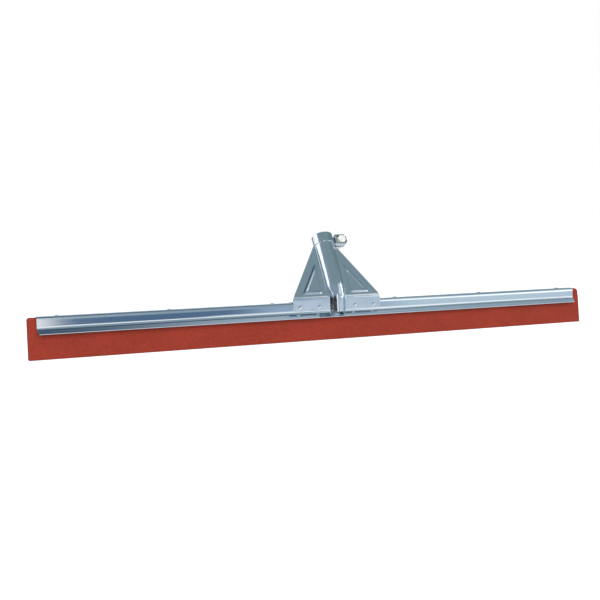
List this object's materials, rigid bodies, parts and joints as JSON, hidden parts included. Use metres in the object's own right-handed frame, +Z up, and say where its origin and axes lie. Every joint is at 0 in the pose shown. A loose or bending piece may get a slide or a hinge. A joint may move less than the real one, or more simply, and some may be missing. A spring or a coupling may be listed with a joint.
{
  "type": "floor squeegee head",
  "caption": "Floor squeegee head: folded foam-rubber blade in a steel channel, with a leaning riveted bracket whose socket takes a round handle and is closed by a bolted clamp.",
  "frame": {"origin": "middle of the blade's foot, on the floor plane that both lips rest on", "axes": "+X along the blade towards the clamp bolt's side, +Y to the back, the way the handle socket leans, +Z up"},
  "size_m": [0.75, 0.0655, 0.1373],
  "materials": {
    "rubber": "matte moss rubber with a fine skin",
    "core": "plain rolled strip",
    "channel": "bright zinc-plated sheet",
    "bracket": "zinc-plated pressed sheet, satin",
    "clamp": "zinc-plated strip",
    "fastener": "zinc-plated steel",
    "rivet": "polished"
  },
  "bodies": {
    "frame": {"rubber_blade": "rubber", "core_strip": "core", "channel": "channel", "socket_front": "bracket", "socket_back": "bracket", "channel_rivet_1": "rivet", "channel_rivet_2": "rivet", "channel_rivet_3": "rivet", "channel_rivet_4": "rivet", "channel_rivet_5": "rivet", "channel_rivet_6": "rivet", "foot_rivet_1": "rivet", "foot_rivet_2": "rivet", "foot_rivet_3": "rivet", "foot_rivet_4": "rivet"},
    "clamp": {"clamp_band": "clamp", "clamp_washer_rear": "fastener", "clamp_nut": "fastener"},
    "bolt_carrier": {"clamp_washer_front": "fastener"},
    "bolt": {"clamp_bolt": "fastener"}
  },
  "joints": [
    {"name": "clamp_lift", "type": "slide", "parent": "frame", "child": "clamp", "axis": [0, 0.4848, 0.8746], "range_m": [0, 0.0132]},
    {"name": "bolt_travel", "type": "slide", "parent": "clamp", "child": "bolt_carrier", "axis": [0, -0.8746, 0.4848], "range_m": [0, 0.005]},
    {"name": "bolt_turn", "type": "hinge", "parent": "bolt_carrier", "child": "bolt", "pos_m": [0.024, 0.03118, 0.12361], "axis": [0, -0.8746, 0.4848], "range_deg": [0, 1800]}
  ],
  "couplings": [
    {"joint": "bolt_travel", "follows": "bolt_turn", "m_per_rad": 0.00015915}
  ]
}
